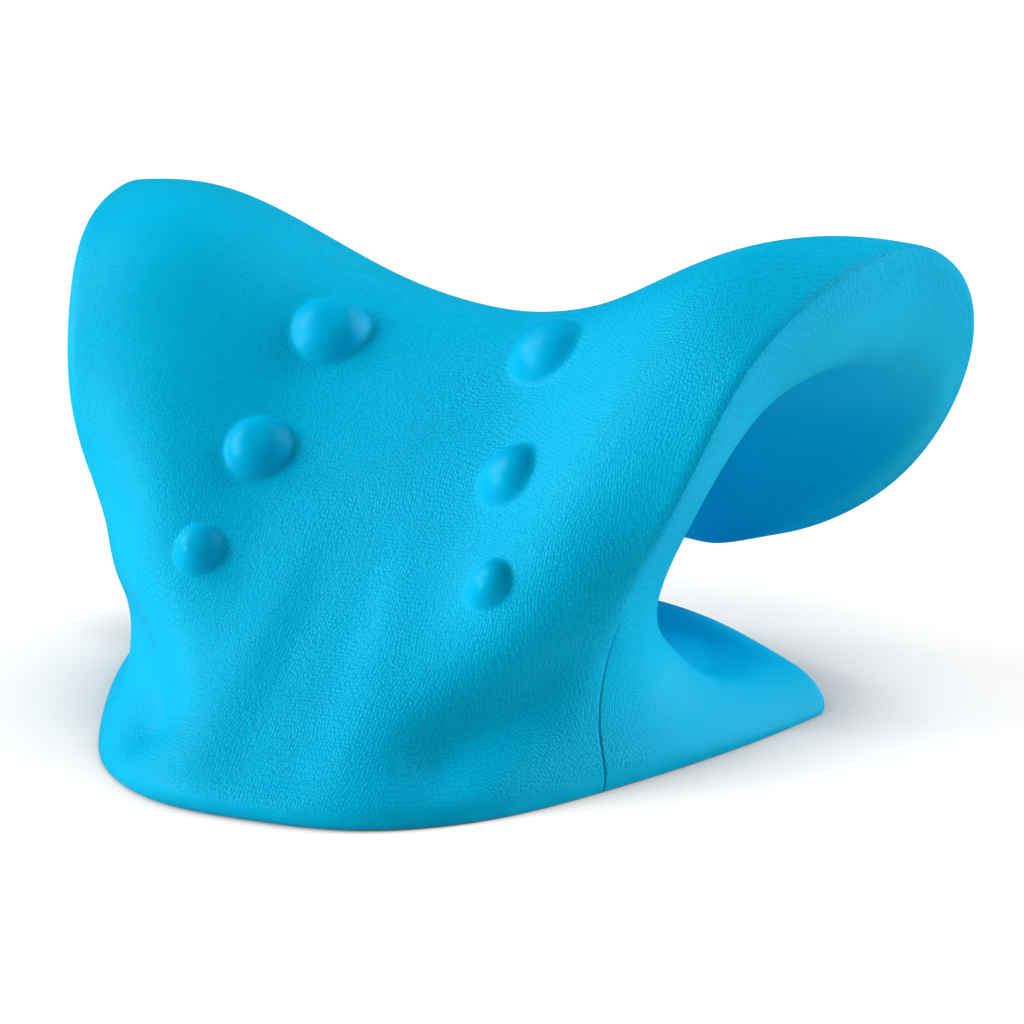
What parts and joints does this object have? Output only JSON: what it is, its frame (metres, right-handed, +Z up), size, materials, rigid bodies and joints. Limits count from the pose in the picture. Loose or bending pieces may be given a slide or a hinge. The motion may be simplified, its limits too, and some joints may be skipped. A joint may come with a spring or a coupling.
{
  "type": "cervical traction device",
  "caption": "One-piece foam neck stretcher: a flared foot, a stem that flexes, and an arched saddle with side wings, massage domes and a hanging tail.",
  "frame": {"origin": "on the sole, on the plane of symmetry, under the stem's rear wall", "axes": "+Z up, -Y to the toe of the neck ramp, +Y to the hanging tail, X across the neck"},
  "size_m": [0.2194, 0.1949, 0.1154],
  "materials": {
    "foam_skin": "satin, fine leather grain on the neck face",
    "node_skin": "satin, smooth"
  },
  "bodies": {
    "foot": {"foot_base": "foam_skin", "flex_web": "foam_skin"},
    "arch": {"neck_cradle": "foam_skin", "tail_flap": "foam_skin", "left_wing": "foam_skin", "right_wing": "foam_skin", "massage_node_upper_left": "node_skin", "massage_node_upper_right": "node_skin", "massage_node_middle_left": "node_skin", "massage_node_middle_right": "node_skin", "massage_node_lower_left": "node_skin", "massage_node_lower_right": "node_skin"}
  },
  "joints": [
    {"name": "arch_flex", "type": "hinge", "parent": "foot", "child": "arch", "pos_m": [0, -0.025, 0.03], "axis": [-1, 0, 0], "range_deg": [-2, 8], "stiffness_Nm_per_rad": 12, "deforming": ["flex_web"]}
  ]
}
